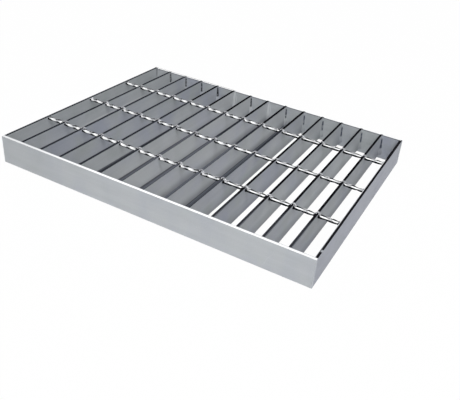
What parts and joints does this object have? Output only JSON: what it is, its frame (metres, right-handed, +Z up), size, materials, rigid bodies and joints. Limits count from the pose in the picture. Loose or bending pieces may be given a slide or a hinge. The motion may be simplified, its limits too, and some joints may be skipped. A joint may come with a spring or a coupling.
{
  "type": "steel grating panel",
  "caption": "Flat galvanised steel grating panel: upright bearing bars crossed by twisted square bars and closed all round by side bars and banding bars.",
  "frame": {"origin": "middle of the panel, on the ground under its frame", "axes": "+X along the banding bars, +Y along the bearing bars, +Z up, out of the walking face"},
  "size_m": [0.35, 0.26, 0.03],
  "materials": {
    "galvanised_steel": "hot-dip galvanised, dull grey with soft mottling"
  },
  "bodies": {
    "root": {"bar_grid": "galvanised_steel", "left_side_bar": "galvanised_steel", "right_side_bar": "galvanised_steel", "front_banding_bar": "galvanised_steel", "back_banding_bar": "galvanised_steel"}
  },
  "joints": []
}
